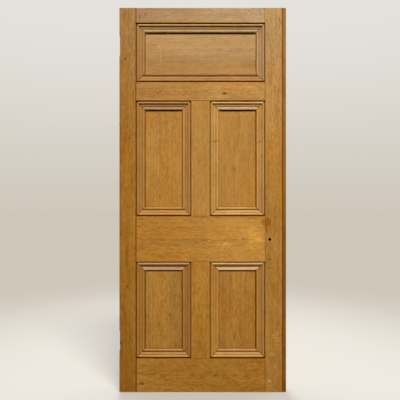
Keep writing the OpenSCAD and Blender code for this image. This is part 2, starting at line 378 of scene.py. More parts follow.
def mark_group():
    """A ragged ellipse on a face: its middle, its two directions and its half sizes along them."""
    graph, source, sink = new_group(
        "mark", ("Position", "Centre", "Along", "Across"), ("Length", "Width", "Soft", "Ragged"), ("Mask",)
    )
    offset = graph.vector("SUBTRACT", source["Position"], source["Centre"])
    long = graph.math("DIVIDE", graph.vector("DOT_PRODUCT", offset, source["Along"]), source["Length"])
    wide = graph.math("DIVIDE", graph.vector("DOT_PRODUCT", offset, source["Across"]), source["Width"])
    away = graph.vector("LENGTH", graph.join(long, wide, 0.0))
    wobble = graph.noise(source["Position"], MARK_WOBBLES_PER_M, source["Centre"], 3.0, 0.6)["Fac"]
    away = graph.math("MULTIPLY_ADD", graph.math("SUBTRACT", wobble, 0.5), source["Ragged"], away)
    core = graph.math("SUBTRACT", 1.0, source["Soft"])
    graph.feed(sink["Mask"], graph.smooth(away, 1.0, core))
    return graph.tree


GRAIN = grain_group()
KNOT = knot_group()
MARK = mark_group()

# Kinds of mark: what they multiply the wood's colour by, strength, softness and raggedness
MARK_KINDS = {
    "dot": ((0.10, 0.07, 0.05), 0.85, 0.5, 0.5),
    "speck": ((0.30, 0.19, 0.09), 0.9, 0.6, 0.8),
    "smudge": ((0.55, 0.45, 0.35), 0.7, 0.9, 0.9),
    "streak": ((0.50, 0.38, 0.25), 0.7, 0.8, 0.9),
    "scratch": ((1.38, 1.60, 2.20), 0.9, 0.7, 0.5),
    "glow": ((1.28, 1.36, 1.40), 0.9, 0.9, 0.9),
    "rust": ((0.82, 0.63, 0.26), 1.0, 0.3, 0.45),
    "tint": ((1.03, 0.90, 0.60), 0.9, 1.0, 0.9),
    "ember": ((1.28, 0.98, 0.60), 0.9, 0.9, 0.7),
    "smear": ((0.68, 0.50, 0.38), 0.9, 0.9, 0.8),
    "haze": ((0.74, 0.64, 0.50), 0.6, 1.0, 1.4),
    "faded": ((1.09, 1.13, 1.34), 0.9, 1.0, 0.3),
    # Painted shade, for the leaf's hinge edge
    "shaded_edge": ((0.92, 0.90, 0.84), 0.9, 1.0, 0.3),
    "age": ((0.86, 0.80, 0.42), 1.0, 1.0, 0.4),
    "pale": ((1.12, 1.09, 1.02), 0.9, 1.0, 0.5),
    "bleached": ((1.12, 1.18, 1.36), 0.9, 1.0, 0.5),
    "dusky": ((0.90, 0.86, 0.78), 0.9, 1.0, 0.5),
}


def scaled(colour, factors):
    return tuple(a * b for a, b in zip(colour, factors))


class Pine:
    """One piece's pine: its grain space, colour, roughness and height, built up by the calls below."""

    def __init__(self, name, tone, along, seed, pith, tilt=0.0, knots=(), contrast=1.0, far=None,
                 fade=None, pits=0.3, crisp=1.0):
        self.material = bpy.data.materials.new(name)
        self.graph = graph = fresh_graph(self.material)
        self.place = graph.add("ShaderNodeTexCoord").outputs["Object"]
        self.x, self.y, self.z = graph.split(self.place)
        self.front = graph.smooth(self.y, *FRONT_DEPTHS)
        self.along_x = along == "x"
        self.grain = graph.join(self.z, self.y, self.x) if self.along_x else self.place
        self.seed = tuple(step * seed for step in SEED_STEP)
        self.tone = tone
        self.pits = pits
        self.crisp = crisp
        self.knots = []
        bulge = self.place_knots(knots)
        self.wood = graph.group(GRAIN, Position=self.grain, Pith=(*pith, 0.0), Tilt=tilt, Bulge=bulge,
                                Seed=self.seed)
        self.colour = self.ground(tone, contrast)
        if far:
            # Partly painted light: the change gives stiles a painted sheen at the top and upper rails more
            # light at the right
            change = graph.smooth(self.z, *fade) if fade else graph.smooth(self.x, *RAIL_LIGHT_FADE)
            self.colour = graph.mix(change, self.colour, self.ground(far, contrast))
        self.rough = graph.math("MULTIPLY_ADD", self.wood["Streak"], ROUGH_STREAK, ROUGH)
        self.gloss = GLOSS
        self.height = self.relief()
        for knot in self.knots:
            self.darken_knot(*knot)

    def place_knots(self, knots):
        """Adds the knots, and returns how far they push the rings out."""
        bulge = 0.0
        for x, z, radius, stretch, core, rim in knots:
            centre = (z, 0.0, x) if self.along_x else (x, 0.0, z)
            knot = self.graph.group(KNOT, Position=self.grain, Centre=centre, Radius=radius, Stretch=stretch)
            self.knots.append((knot, core, rim))
            bulge = self.graph.math("ADD", bulge, knot["Bulge"])
        return bulge

    def ground(self, tone, contrast):
        """Pale and deep wood mixed by tone, streaks, late wood, fibres and pits."""
        graph = self.graph
        shares = {"Grit": self.crisp, "Fibre": self.crisp, "Fleck": self.crisp, "Pit": self.pits}
        factor = 0.5
        for output, (weight, middle) in DEEPENING.items():
            weight *= shares.get(output, 1.0) * contrast
            shift = graph.math("SUBTRACT", self.wood[output], middle)
            factor = graph.math("MULTIPLY_ADD", shift, weight, factor)
        factor = graph.math("MINIMUM", graph.math("MAXIMUM", factor, 0.0), 1.0)
        tint = graph.mix(graph.smooth(self.wood["Warm"], *WARM_LEVELS), COOL, WARM)
        wood = graph.mix(factor, scaled(tone, PALE), scaled(tone, DEEP))
        return graph.mix(1.0, wood, tint, "MULTIPLY")

    def relief(self):
        height = 0.0
        for output, rise in RELIEF.items():
            height = self.graph.math("MULTIPLY_ADD", self.wood[output], rise, height)
        return height

    def darken_knot(self, knot, core, rim):
        strengths = {"Flare": FLARE_STRENGTH * rim, "Core": core, "Rim": rim}
        for part, factors in KNOT_COLOURS.items():
            self.stain(knot[part], strengths[part], scaled(self.tone, factors))

    def stain(self, mask, strength, colour, roughness=None):
        """Colours the wood where the mask is, and returns the mask at this strength."""
        mask = self.graph.times(mask, strength)
        self.colour = self.graph.mix(mask, self.colour, colour)
        if roughness is not None:
            lift = self.graph.math("SUBTRACT", roughness, self.rough)
            self.rough = self.graph.math("MULTIPLY_ADD", lift, mask, self.rough)
        return mask

    def soil_and_shade(self, mask, strength, colour):
        """Dull dirt and painted shadow, which have no gloss of their own."""
        dirt_and_shadow = self.stain(mask, strength, colour, ROUGH_DIRT_AND_SHADOW)
        self.gloss = self.graph.times(self.gloss, self.graph.math("SUBTRACT", 1.0, dirt_and_shadow))

    def rub_and_highlight(self, mask, strength, roughness=None):
        """Pale, worn wood, which on the mouldings' beads and rolls and beside seams is also painted
        highlight.
        """
        self.stain(mask, strength, scaled(self.tone, WEAR_AND_HIGHLIGHT), roughness)

    def tint(self, mask, strength, factors):
        """Multiplies the wood's colour where the mask is."""
        self.colour = self.graph.mix(self.graph.times(mask, strength), self.colour, factors, "MULTIPLY")

    def broken(self, mask, kind):
        """The mask, broken up by noise."""
        scale, low, high = PATCHES[kind]
        patches = self.graph.noise(self.place, (scale, scale, scale), self.seed, 2.0)["Fac"]
        return self.graph.times(mask, self.graph.smooth(patches, low, high))

    def seam(self, distance, width, colour):
        """A dark line beside an edge, of dirt and of painted shadow in crevices, with painted shade, warmth
        and a pale margin of rubbing and painted highlight, all in metres.
        """
        graph = self.graph
        far, near = MARGIN_REACH
        margin = self.broken(graph.smooth(distance, width + far, width + near), "margin")
        self.rub_and_highlight(margin, MARGIN_STRENGTH)
        shade = self.broken(graph.smooth(distance, width + SHADE_REACH, 0.0), "shade")
        self.stain(shade, SHADE_STRENGTH, SHADE)
        self.tint(graph.smooth(distance, width + SHADE_REACH, width + MM), SEAM_WARMTH, WARMED)
        line = self.broken(graph.smooth(distance, width, width * LINE_CORE), "seam")
        self.soil_and_shade(line, LINE_STRENGTH, colour)

    def arris(self, distance):
        """Rubbed and nicked wood where a face meets an outer side that is this far away."""
        graph = self.graph
        half = (cad_box[1][1] - cad_box[0][1]) / 2
        depth = graph.math("SUBTRACT", half, graph.math("ABSOLUTE", self.y))
        away = graph.math("MAXIMUM", distance, depth)
        rubbed = self.broken(graph.smooth(away, *RUB_REACH), "arris")
        self.rub_and_highlight(rubbed, RUB_STRENGTH, RUB_ROUGH)
        nicks = graph.noise(self.place, NICKS_PER_M, self.seed, 3.0, 0.7)["Fac"]
        nick = graph.times(graph.smooth(nicks, *NICK_LEVELS), graph.smooth(away, *NICK_REACH))
        self.soil_and_shade(nick, NICK_STRENGTH, SHADE)
        self.height = graph.math("MULTIPLY_ADD", nick, -NICK_DEPTH, self.height)

    def mark(self, kind, x, z, length, width, turn=0.0):
        """One mark on the front: its kind, middle, half sizes in millimetres and turn from the X axis."""
        factors, strength, soft, ragged = MARK_KINDS[kind]
        cosine = math.cos(math.radians(turn))
        sine = math.sin(math.radians(turn))
        mask = self.graph.group(
            MARK, Position=self.place, Centre=(x, 0.0, z), Along=(cosine, 0.0, sine),
            Across=(-sine, 0.0, cosine), Length=length * MM, Width=width * MM, Soft=soft, Ragged=ragged,
        )["Mask"]
        self.tint(self.graph.times(mask, self.front), strength, factors)

    def finish(self):
        graph = self.graph
        bump = graph.named("ShaderNodeBump", {"Distance": 1.0, "Strength": BUMP, "Height": self.height})
        shader = graph.named("ShaderNodeBsdfPrincipled", {
            "Normal": bump.outputs[0],
            "Base Color": self.colour,
            "Roughness": self.rough,
            "Specular IOR Level": self.gloss,
        })
        graph.fed("ShaderNodeOutputMaterial", shader.outputs[0])
        return self.material


def dress(piece, material):
    piece.data.materials.clear()
    piece.data.materials.append(material)


def edge_of(opening, edge):
    """Where an opening's edge lies, from the moulding that is planted along it."""
    low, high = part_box(f"front_{opening}_{edge}_moulding")
    return {"head": high.z, "sill": low.z, "left": low.x, "right": high.x}[edge]


def moulding_width():
    low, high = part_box("front_top_sill_moulding")
    return high.z - low.z


LINES = {(opening, edge): edge_of(opening, edge) for opening in OPENINGS for edge in EDGES}
MOULDING_WIDTH = moulding_width()

# Each board: its colour and its far colour, to the right on a rail, or low down where fade gives heights;
# which way its grain runs, where its pith lies across the face and behind it, and how far that tilts; how
# strong, crisp and pitted its figure is; its knots: place, radius, stretch, dark core and rim
# The change to the far colour is partly painted light, for sheen high up and for light that falls from the
# right
BOARDS = {
    "hinge_stile": dict(
        tone=(0.309, 0.152, 0.0355), far=(0.310, 0.129, 0.0115), fade=TOP_SHEEN_FADE,
        along="z", pith=(-0.36, 0.05), tilt=0.03, crisp=1.85, pits=0.8,
        knots=(
            (-0.410, 1.763, 0.004, 1.4, 0.9, 0.6),
            (-0.389, 1.344, 0.003, 1.4, 0.7, 0.5),
            (-0.375, 0.844, 0.003, 1.4, 0.7, 0.5),
            (-0.399, 0.559, 0.004, 1.4, 0.8, 0.5),
        ),
    ),
    "lock_stile": dict(
        tone=(0.383, 0.210, 0.0670), far=(0.356, 0.163, 0.0250), fade=TOP_SHEEN_FADE,
        along="z", pith=(0.20, 0.09), tilt=0.02, contrast=0.95, crisp=1.6, pits=0.7,
    ),
    "lock_edge_lipping": dict(
        tone=(0.278, 0.127, 0.0175), far=(0.228, 0.083, 0.0062), fade=(1.9, 0.75),
        along="z", pith=(0.30, 0.10), pits=0.5,
    ),
    "top_rail": dict(
        tone=(0.337, 0.184, 0.0684), far=(0.404, 0.249, 0.1104),
        along="x", pith=(2.06, 0.08), tilt=0.015, contrast=0.8, crisp=1.2, pits=0.5,
    ),
    "frieze_rail": dict(
        tone=(0.368, 0.179, 0.0382), far=(0.450, 0.227, 0.0497),
        along="x", pith=(1.70, 0.07), tilt=0.02, contrast=0.85, crisp=1.7, pits=0.7,
        knots=((0.114, 1.579, 0.0055, 1.5, 0.85, 0.55),),
    ),
    "lock_rail": dict(
        tone=(0.392, 0.172, 0.0226), far=(0.482, 0.230, 0.0385),
        along="x", pith=(0.98, 0.08), tilt=0.025, contrast=0.9, crisp=1.7, pits=0.6,
        knots=((0.214, 0.810, 0.003, 1.6, 0.6, 0.6), (0.114, 0.783, 0.011, 1.6, 0.0, 0.14)),
    ),
    "bottom_rail": dict(
        tone=(0.367, 0.166, 0.0219), far=(0.356, 0.152, 0.0148),
        along="x", pith=(0.085, 0.05), tilt=0.05, contrast=0.82, crisp=2.4, pits=1.2,
        knots=((-0.322, 0.047, 0.0065, 1.1, 0.15, 1.0), (0.068, 0.088, 0.005, 1.3, 0.3, 0.7)),
    ),
    "upper_muntin": dict(
        tone=(0.393, 0.193, 0.0388), far=(0.428, 0.205, 0.0384), fade=(1.33, 1.10),
        along="z", pith=(-0.12, 0.07), contrast=0.65, crisp=1.5, pits=0.5,
    ),
    "lower_muntin": dict(
        tone=(0.397, 0.179, 0.0238), far=(0.377, 0.162, 0.0176), fade=(0.62, 0.22),
        along="z", pith=(0.06, 0.05), tilt=0.02, contrast=0.92, crisp=1.8, pits=0.6,
    ),
    "tenon_wedges": dict(tone=(0.40, 0.18, 0.04), along="x", pith=(1.0, 0.5)),
    "top_panel": dict(
        tone=(0.424, 0.245, 0.0910), far=(0.362, 0.187, 0.0520), fade=(1.83, 1.73),
        along="x", pith=(1.98, 0.11), tilt=0.015, contrast=0.7,
    ),
    "upper_left_panel": dict(
        tone=(0.386, 0.179, 0.0307), far=(0.390, 0.178, 0.0286), fade=(1.48, 1.02),
        along="z", pith=(-0.21, 0.06), tilt=0.03, contrast=0.88, crisp=1.65, pits=0.6,
    ),
    "upper_right_panel": dict(
        tone=(0.406, 0.198, 0.0407), far=(0.414, 0.196, 0.0357), fade=(1.40, 1.02),
        along="z", pith=(0.19, 0.10), tilt=0.015, contrast=0.72, crisp=1.25, pits=0.2,
    ),
    "lower_left_panel": dict(
        tone=(0.365, 0.169, 0.0265), far=(0.345, 0.158, 0.0237), fade=(0.50, 0.26),
        along="z", pith=(-0.20, 0.05), tilt=0.05, contrast=0.95, crisp=1.85, pits=1.1,
    ),
    "lower_right_panel": dict(
        tone=(0.386, 0.174, 0.0281), far=(0.348, 0.149, 0.0211), fade=(0.62, 0.50),
        along="z", pith=(0.17, 0.08), tilt=0.025, crisp=1.6, pits=0.8,
    ),
}

# Dark lines along the sides of boards, dirt in the joints and painted shadow in the crevices by the
# mouldings: width in millimetres
SEAMS = {
    "hinge_stile": {"right": 2.4},
    "lock_stile": {"left": 1.0, "right": 2.4},
    "lock_edge_lipping": {"left": 2.8},
    "top_rail": {"left": 1.5, "right": 0.7, "low": 2.8},
    "frieze_rail": {"left": 1.3, "right": 0.5, "low": 2.0, "high": 2.0},
    "lock_rail": {"left": 2.2, "low": 1.0, "high": 1.9},
    "bottom_rail": {"left": 4.0, "right": 0.6, "high": 2.0},
    "upper_muntin": {"left": 1.5, "right": 1.0},
    "lower_muntin": {"left": 1.6, "right": 1.5},
}

# Sides of boards that are the leaf's own outer edges
OUTER = {
    "hinge_stile": ("left", "low", "high"),
    "lock_stile": ("low", "high"),
    "lock_edge_lipping": ("right", "low", "high"),
    "top_rail": ("high",),
    "bottom_rail": ("low",),
}


def alike(kind, *spots):
    """Marks of one kind: the middle, half sizes and turn of each."""
    return tuple((kind, *spot) for spot in spots)


# Marks of use on the front of boards: kind, middle, half length and width in millimetres, turn if not level
MARKS = {
    "hinge_stile": (
        ("age", -0.397, 0.10, 700, 140, 90),
        ("pale", -0.397, 1.22, 230, 70, 90),
        ("faded", -0.356, 0.70, 1150, 24, 90),
        # Painted shade down the hinge edge
        ("shaded_edge", -0.441, 1.05, 1000, 30, 90),
        ("streak", -0.402, 0.72, 190, 5, 90),
        ("streak", -0.378, 1.12, 120, 3, 90),
        ("tint", -0.418, 1.82, 130, 8, 90),
        ("tint", -0.425, 1.36, 210, 7, 90),
        ("ember", -0.420, 0.026, 13, 11, 20),
        ("ember", -0.420, 0.150, 26, 6, 90),
        ("dot", -0.434, 0.260, 14, 4, 90),
    ),
    "lock_stile": (
        ("pale", 0.375, 1.66, 230, 70, 90),
        ("bleached", 0.375, 1.46, 290, 90, 90),
        ("pale", 0.375, 0.74, 240, 80, 90),
        ("pale", 0.380, 1.32, 200, 70, 90),
        ("tint", 0.356, 0.955, 14, 46),
        ("tint", 0.395, 0.885, 34, 80),
        ("rust", 0.336, 0.900, 31, 29),
        ("rust", 0.338, 0.862, 8, 22),
        ("streak", 0.3976, 0.62, 300, 2, 90),
        ("smudge", 0.354, 0.703, 19, 10),
        ("smudge", 0.360, 0.655, 22, 5, 4),
        ("tint", 0.364, 0.620, 17, 4, -6),
        ("dot", 0.407, 1.970, 14, 1.8, 90),
        ("dot", 0.412, 1.428, 3, 2.4),
        ("dot", 0.402, 1.042, 3, 2.6),
        *alike(
            "scratch",
            (0.395, 0.312, 40, 2.4, 14), (0.392, 0.270, 36, 2, 10), (0.377, 0.300, 36, 2.6, 4),
            (0.385, 0.288, 32, 2.6, -8), (0.397, 0.313, 17, 2.6, 75), (0.368, 0.206, 26, 2.6),
            (0.370, 0.198, 28, 2.6, 2), (0.366, 0.191, 22, 2.6, -2), (0.372, 0.155, 24, 2.6, -3),
            (0.376, 0.141, 26, 2.6, 3), (0.384, 0.131, 20, 2.6), (0.350, 0.064, 18, 2.6, -40),
            (0.356, 0.058, 18, 2.6, -40), (0.352, 0.055, 16, 2.6, 45), (0.350, 0.060, 26, 2.4, 24),
            (0.356, 0.035, 20, 2, 20),
        ),
    ),
    "lock_edge_lipping": (("age", 0.432, 0.20, 800, 70, 90),),
    "top_rail": (
        ("dot", -0.304, 1.999, 9, 2.6, 6),
        ("dot", -0.198, 1.989, 8, 2.2, -4),
        ("smudge", -0.335, 1.985, 9, 24),
        *alike(
            "speck",
            (0.249, 2.015, 20, 2.2, -34), (0.302, 2.017, 9, 2.4, -62), (0.268, 2.024, 9, 2.2, -30),
            (0.226, 2.026, 5, 3),
        ),
    ),
    "frieze_rail": (
        ("bleached", 0.062, 1.590, 150, 110),
        ("dusky", -0.335, 1.590, 90, 110),
        ("streak", 0.116, 1.579, 44, 2.4),
        ("smudge", 0.121, 1.579, 19, 3.4, 4),
        *alike(
            "speck",
            (-0.260, 1.609, 5.2, 3.9, 30), (-0.234, 1.606, 4.4, 3.4, 60), (-0.218, 1.592, 5.7, 3.9, 10),
            (-0.247, 1.601, 5, 3.4, 20), (-0.254, 1.594, 4.2, 3.4), (-0.219, 1.600, 4.7, 3.6),
            (-0.210, 1.603, 3.9, 3.4), (-0.231, 1.588, 3.9, 3.1), (-0.258, 1.573, 4.4, 3.4),
            (-0.234, 1.567, 4.2, 3.1), (-0.213, 1.567, 4.7, 3.6), (-0.268, 1.561, 3.9, 3.1),
            (-0.043, 1.590, 5.2, 3.9), (-0.028, 1.585, 3.9, 3.1), (-0.007, 1.600, 3.9, 3.1),
            (0.0055, 1.591, 4.4, 3.4), (0.0206, 1.588, 5.2, 3.9), (-0.226, 1.597, 4.4, 3.4),
            (-0.240, 1.581, 5, 3), (-0.222, 1.576, 4.4, 3.2), (-0.205, 1.612, 4, 3.2),
            (-0.101, 1.594, 5, 3.2), (-0.089, 1.584, 4.4, 3),
        ),
    ),
    "lock_rail": (
        *alike(
            "glow",
            (0.278, 0.810, 66, 66), (0.114, 0.783, 52, 22, -8), (0.130, 0.790, 30, 2.2, -14),
            (0.098, 0.775, 26, 2, 8), (0.140, 0.769, 24, 2, 20),
        ),
        ("scratch", 0.034, 0.799, 9, 6),
        ("scratch", -0.042, 0.857, 44, 2, 72.6),
        ("streak", -0.165, 0.805, 165, 2.2),
        ("streak", 0.110, 0.803, 90, 2.4, 3),
        ("streak", 0.250, 0.807, 60, 2.4, -3),
        *alike(
            "speck",
            (-0.307, 0.847, 4.4, 3.4), (-0.338, 0.876, 7, 3.4), (0.251, 0.715, 3.4, 2.6),
            (0.277, 0.715, 4, 3),
        ),
        ("rust", 0.336, 0.900, 31, 29),
    ),
    "bottom_rail": (
        ("haze", -0.226, 0.075, 66, 7, 90),
        ("haze", -0.198, 0.080, 62, 6, 90),
        ("dot", -0.053, 0.012, 4, 3),
        ("dot", -0.345, 0.004, 5, 4),
    ),
    "top_panel": (
        ("scratch", -0.235, 1.838, 34, 1.8, -61),
        ("scratch", -0.222, 1.756, 86, 1.9, -88),
    ),
    "upper_left_panel": (("speck", -0.233, 1.472, 3.6, 3),),
    "upper_right_panel": (("smear", 0.165, 1.181, 14, 10, 90),),
    "lower_left_panel": alike(
        "speck",
        (-0.232, 0.355, 22, 2, 90), (-0.214, 0.322, 18, 1.8, 90),
        (-0.170, 0.402, 20, 1.8, 90), (-0.150, 0.560, 16, 1.8, 90),
    ),
}

# Each moulding: its colour, partly painted light as it is paler on lengths that catch more light; the width
# in millimetres of the dark line at the frame, dirt with painted shadow in the crevice; how dark its quirk,
# fillet and hollow are, dirt and painted shadow; the width of the line on the panel, dirt and painted shadow
# that is darkest under a head; and how far its bead and roll are painted pale, rubbing and painted highlight
Moulding = namedtuple("Moulding", "tone line quirk fillet hollow foot bead roll")
MOULDINGS = {
    "top_head": ((0.424, 0.252, 0.1100), 4.6, 0.85, 0.22, 0.45, 13.0, 0.6, 0.0),
    "top_sill": ((0.389, 0.196, 0.0581), 4.2, 0.45, 0.05, 0.75, 0.8, 0.9, 0.0),
    "top_left": ((0.358, 0.178, 0.0480), 3.4, 0.1, 0.05, 0.22, 3.4, 0.4, 0.4),
    "top_right": ((0.393, 0.222, 0.0815), 3.4, 0.1, 0.05, 0.15, 2.6, 0.4, 0.4),
    "upper_left_head": ((0.403, 0.224, 0.0857), 4.4, 0.95, 0.12, 0.7, 11.0, 1.0, 0.0),
    "upper_left_sill": ((0.519, 0.262, 0.0681), 3.6, 0.15, 0.05, 0.75, 0.8, 0.7, 0.2),
    "upper_left_left": ((0.401, 0.196, 0.0435), 3.2, 0.12, 0.06, 0.25, 3.6, 0.4, 0.4),
    "upper_left_right": ((0.431, 0.204, 0.0442), 3.2, 0.14, 0.08, 0.12, 2.6, 0.4, 0.4),
    "upper_right_head": ((0.557, 0.333, 0.1316), 4.4, 0.95, 0.1, 0.7, 11.0, 1.0, 0.1),
    "upper_right_sill": ((0.562, 0.323, 0.1071), 3.6, 0.15, 0.05, 0.7, 0.8, 0.9, 0.2),
    "upper_right_left": ((0.489, 0.254, 0.0616), 2.4, 0.08, 0.04, 0.1, 0.8, 0.5, 0.5),
    "upper_right_right": ((0.452, 0.225, 0.0532), 3.2, 0.1, 0.05, 0.12, 4.2, 0.5, 0.5),
    "lower_left_head": ((0.509, 0.274, 0.1095), 4.2, 0.6, 0.72, 0.1, 6.4, 1.0, 0.5),
    "lower_left_sill": ((0.485, 0.259, 0.0833), 3.4, 0.25, 0.03, 0.8, 2.0, 0.8, 0.1),
    "lower_left_left": ((0.373, 0.172, 0.0302), 3.0, 0.12, 0.06, 0.28, 4.6, 0.4, 0.4),
    "lower_left_right": ((0.360, 0.161, 0.0322), 3.0, 0.16, 0.1, 0.16, 5.2, 0.3, 0.3),
    "lower_right_head": ((0.630, 0.355, 0.1309), 4.2, 0.6, 0.72, 0.1, 6.4, 1.0, 0.8),
    "lower_right_sill": ((0.533, 0.285, 0.0871), 3.4, 0.25, 0.03, 0.8, 2.0, 0.9, 0.1),
    "lower_right_left": ((0.452, 0.219, 0.0392), 3.0, 0.1, 0.05, 0.18, 1.0, 0.4, 0.4),
    "lower_right_right": ((0.415, 0.199, 0.0380), 3.6, 0.12, 0.06, 0.14, 6.2, 0.4, 0.4),
}
# Where dirt and painted shadow lie across a moulding, in millimetres in from the frame: below the bead, then
# below the roll; on heads the first is painted shadow of the bead, on sills the second is painted shade
# under the roll
DIRT_AND_SHADOW_SPANS = {
    "lower_left_head": (15.8, 18.5, 28.4, 29.4),
    "lower_right_head": (15.8, 18.5, 28.4, 29.4),
    "top_head": (15.2, 18.4, 29.0, 31.5),
    "head": (15.2, 18.4, 28.6, 31.0),
    "top_sill": (15.8, 17.6, 32.5, 38.5),
    "sill": (15.8, 17.2, 30.0, 36.0),
    "left": (15.4, 17.6, 29.4, 33.0),
    "right": (15.4, 18.0, 29.2, 32.8),
}
# How softly that dirt and painted shadow ends, in millimetres: at the frame, beside the quirk, before and
# after the hollow and at the foot; then the faint dirt that stays on the bead's two flanks and on the roll
LINE_EASE = 1.4
QUIRK_EASE = 1.6
HOLLOW_EASE = (2.0, 1.8)
FOOT_EASE = (1.8, 0.5)
FAINT_DIRT = (0.05, 0.03, 0.02)
# Rubbed parts of a moulding, which also carry painted highlight, in millimetres in from the frame: where
# they lie, how softly the rubbing ends, how much of it the slope takes, and how strong it is
BEAD_SPAN = (4.6, 14.6)
SLOPE_SPAN = (18.0, 27.5)
ROLL_SPAN = (33.0, 43.5)
RUB_SOFT = 2.0
SLOPE_SHARE = 0.25
WEAR_AND_HIGHLIGHT_STRENGTH = 0.8
# How dark the crevice at the frame is, dirt and painted shadow, on level and upright lengths, and how dark a
# level length's foot is
LEVEL_CREVICE = 1.0
UPRIGHT_CREVICE = 0.35
LEVEL_FOOT = 0.2
# An upright's foot is darker beside a wide line: the rise for each millimetre, and the most that it reaches
FOOT_PER_MM = 0.15
FOOT_MOST = 0.8
# How far the browner wood spreads round the dirt and painted shadow, as a share of the width, and how strong
# it is
WARM_SPREAD = 0.05
MOULDING_WARMTH = 0.6
# The dark line along a mitre: where it fades, and how strong it is
MITRE_SPAN = (2.0 * MM, 0.6 * MM)
MITRE_STRENGTH = 0.85
# Grain of the mouldings: the first seed, the pith's place for each seed, and the figure's strength
FIRST_SEED = 20
PITH_START = 0.3
PITH_STEP = 0.37
PITH_DEPTH = 0.2
MOULDING_CONTRAST = 0.8

# Knots in the mouldings, as in the boards
MOULDING_KNOTS = {
    "upper_right_right": ((0.312, 1.249, 0.003, 1.4, 0.5, 0.5),),
    "lower_right_head": ((0.304, 0.670, 0.004, 1.5, 0.1, 0.4),),
}
# Marks on the front's mouldings, as on the boards
MOULDING_MARKS = {
    "upper_left_left": (("haze", -0.336, 1.248, 20, 5, 80),),
    "upper_right_left": (
        ("smear", 0.0645, 1.327, 26, 7, 18),
        ("smudge", 0.0795, 1.331, 6, 4, 20),
    ),
    "upper_right_right": (("smear", 0.3014, 1.3245, 26, 7, 18),),
    "lower_right_left": (("smudge", 0.049, 0.646, 5, 4),),
    "lower_right_right": (("smudge", 0.3025, 0.646, 5, 4),),
}

# Corners of a moulding's section in millimetres: in from the frame, out from the leaf's face, and how far it
# is rounded there. They make a quirk beside the frame, a bead, a second quirk, a slope, a hollow and a roll.
SECTION = (
    (0.0, -8.5, 0.0), (3.8, -8.5, 0.4),
    (3.8, -0.5, 5.6), (15.6, -0.5, 5.6),
    (15.6, -7.8, 0.4), (17.0, -7.8, 0.4),
    (17.2, -5.5, 0.8), (28.6, -8.2, 1.2),
    (30.2, -10.2, 1.2),
    (33.2, -7.4, 1.5), (45.3, -5.6, 4.5),
    (45.3, -13.0, 0.0), (0.0, -13.0, 0.0),
)
# Steps round a corner, the spacing of sections along a length, the gap at a mitre and the unevenness of wear
ROUND_STEPS = 6
STATION = 25 * MM
MITRE_GAP = 0.35 * MM
UNEVEN = 0.2 * MM
UNEVEN_PER_M = (22.0, 60.0)
UNEVEN_SEED_STEP = 7.3
# Edges sharper than this many degrees stay sharp
SHARP_ANGLE = 35.0


def rounded(corners):
    """The corners' outline, with each corner replaced by a short curve."""
    outline = []
    for i, (u, v, reach) in enumerate(corners):
        corner = Vector((u, v)) * MM
        if reach == 0.0:
            outline.append(corner)
            continue
        before = Vector(corners[i - 1][:2]) * MM
        after = Vector(corners[(i + 1) % len(corners)][:2]) * MM
        start = corner + (before - corner).normalized() * reach * MM
        end = corner + (after - corner).normalized() * reach * MM
        for step in range(ROUND_STEPS + 1):
            t = step / ROUND_STEPS
            outline.append((1 - t) ** 2 * start + 2 * t * (1 - t) * corner + t * t * end)
    return outline


def uneven(point, along, seed):
    """A point of the section moved a little by wear; the sides against the frame and the panel stay."""
    u, v = point
    if u <= 0.0 or u >= SECTION[-2][0] * MM or v <= SECTION[-1][1] * MM:
        return u, v
    spot = (along * UNEVEN_PER_M[0], u * UNEVEN_PER_M[1], UNEVEN_SEED_STEP * seed)
    return u, v + UNEVEN * noise.noise(spot)


def place_on(opening, edge, face, along, u, v):
    """A point of a moulding from its place along an edge, in from it and out from the leaf's face."""
    y = (cad_box[0][1] - v) * (1 if face == "front" else -1)
    if edge in LEVEL_EDGES:
        inwards = -u if edge == "head" else u
        return (LINES[opening, "left"] + along, y, LINES[opening, edge] + inwards)
    inwards = -u if edge == "right" else u
    return (LINES[opening, edge] + inwards, y, LINES[opening, "sill"] + along)


def worn_moulding(name, opening, edge, face, seed, material):
    """One mitred length of moulding, slightly uneven, in the place of its CAD node."""
    ends = ("left", "right") if edge in LEVEL_EDGES else ("sill", "head")
    length = LINES[opening, ends[1]] - LINES[opening, ends[0]]
    outline = rounded(SECTION)
    stations = round(length / STATION)
    mesh = bmesh.new()
    rings = []
    for station in range(stations + 1):
        t = station / stations
        ring = []
        for point in outline:
            u, v = uneven(point, t * length, seed)
            along = (u + MITRE_GAP) * (1 - t) + (length - u - MITRE_GAP) * t
            ring.append(mesh.verts.new(place_on(opening, edge, face, along, u, v)))
        rings.append(ring)
    for ring, following in zip(rings, rings[1:]):
        for i in range(len(outline)):
            mesh.faces.new((ring[i - 1], ring[i], following[i], following[i - 1]))
    mesh.faces.new(rings[0])
    mesh.faces.new(rings[-1])
    bmesh.ops.recalc_face_normals(mesh, faces=mesh.faces)
    data = bpy.data.meshes.new(f"{name}_worn")
    mesh.to_mesh(data)
    mesh.free()
    data.shade_smooth()
    data.set_sharp_from_angle(angle=math.radians(SHARP_ANGLE))
    piece = bpy.data.objects.new(data.name, data)
    bpy.context.scene.collection.objects.link(piece)
    dress(piece, material)
    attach(piece, "root")
    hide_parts(name)


def inside(pine, opening, edge, margin=0.0):
    """Distance in from an opening's edge, or from a line a margin inside it."""
    at = LINES[opening, edge]
    if edge in ("head", "right"):
        return pine.graph.math("SUBTRACT", at - margin, pine.z if edge == "head" else pine.x)
    return pine.graph.math("SUBTRACT", pine.z if edge == "sill" else pine.x, at + margin)


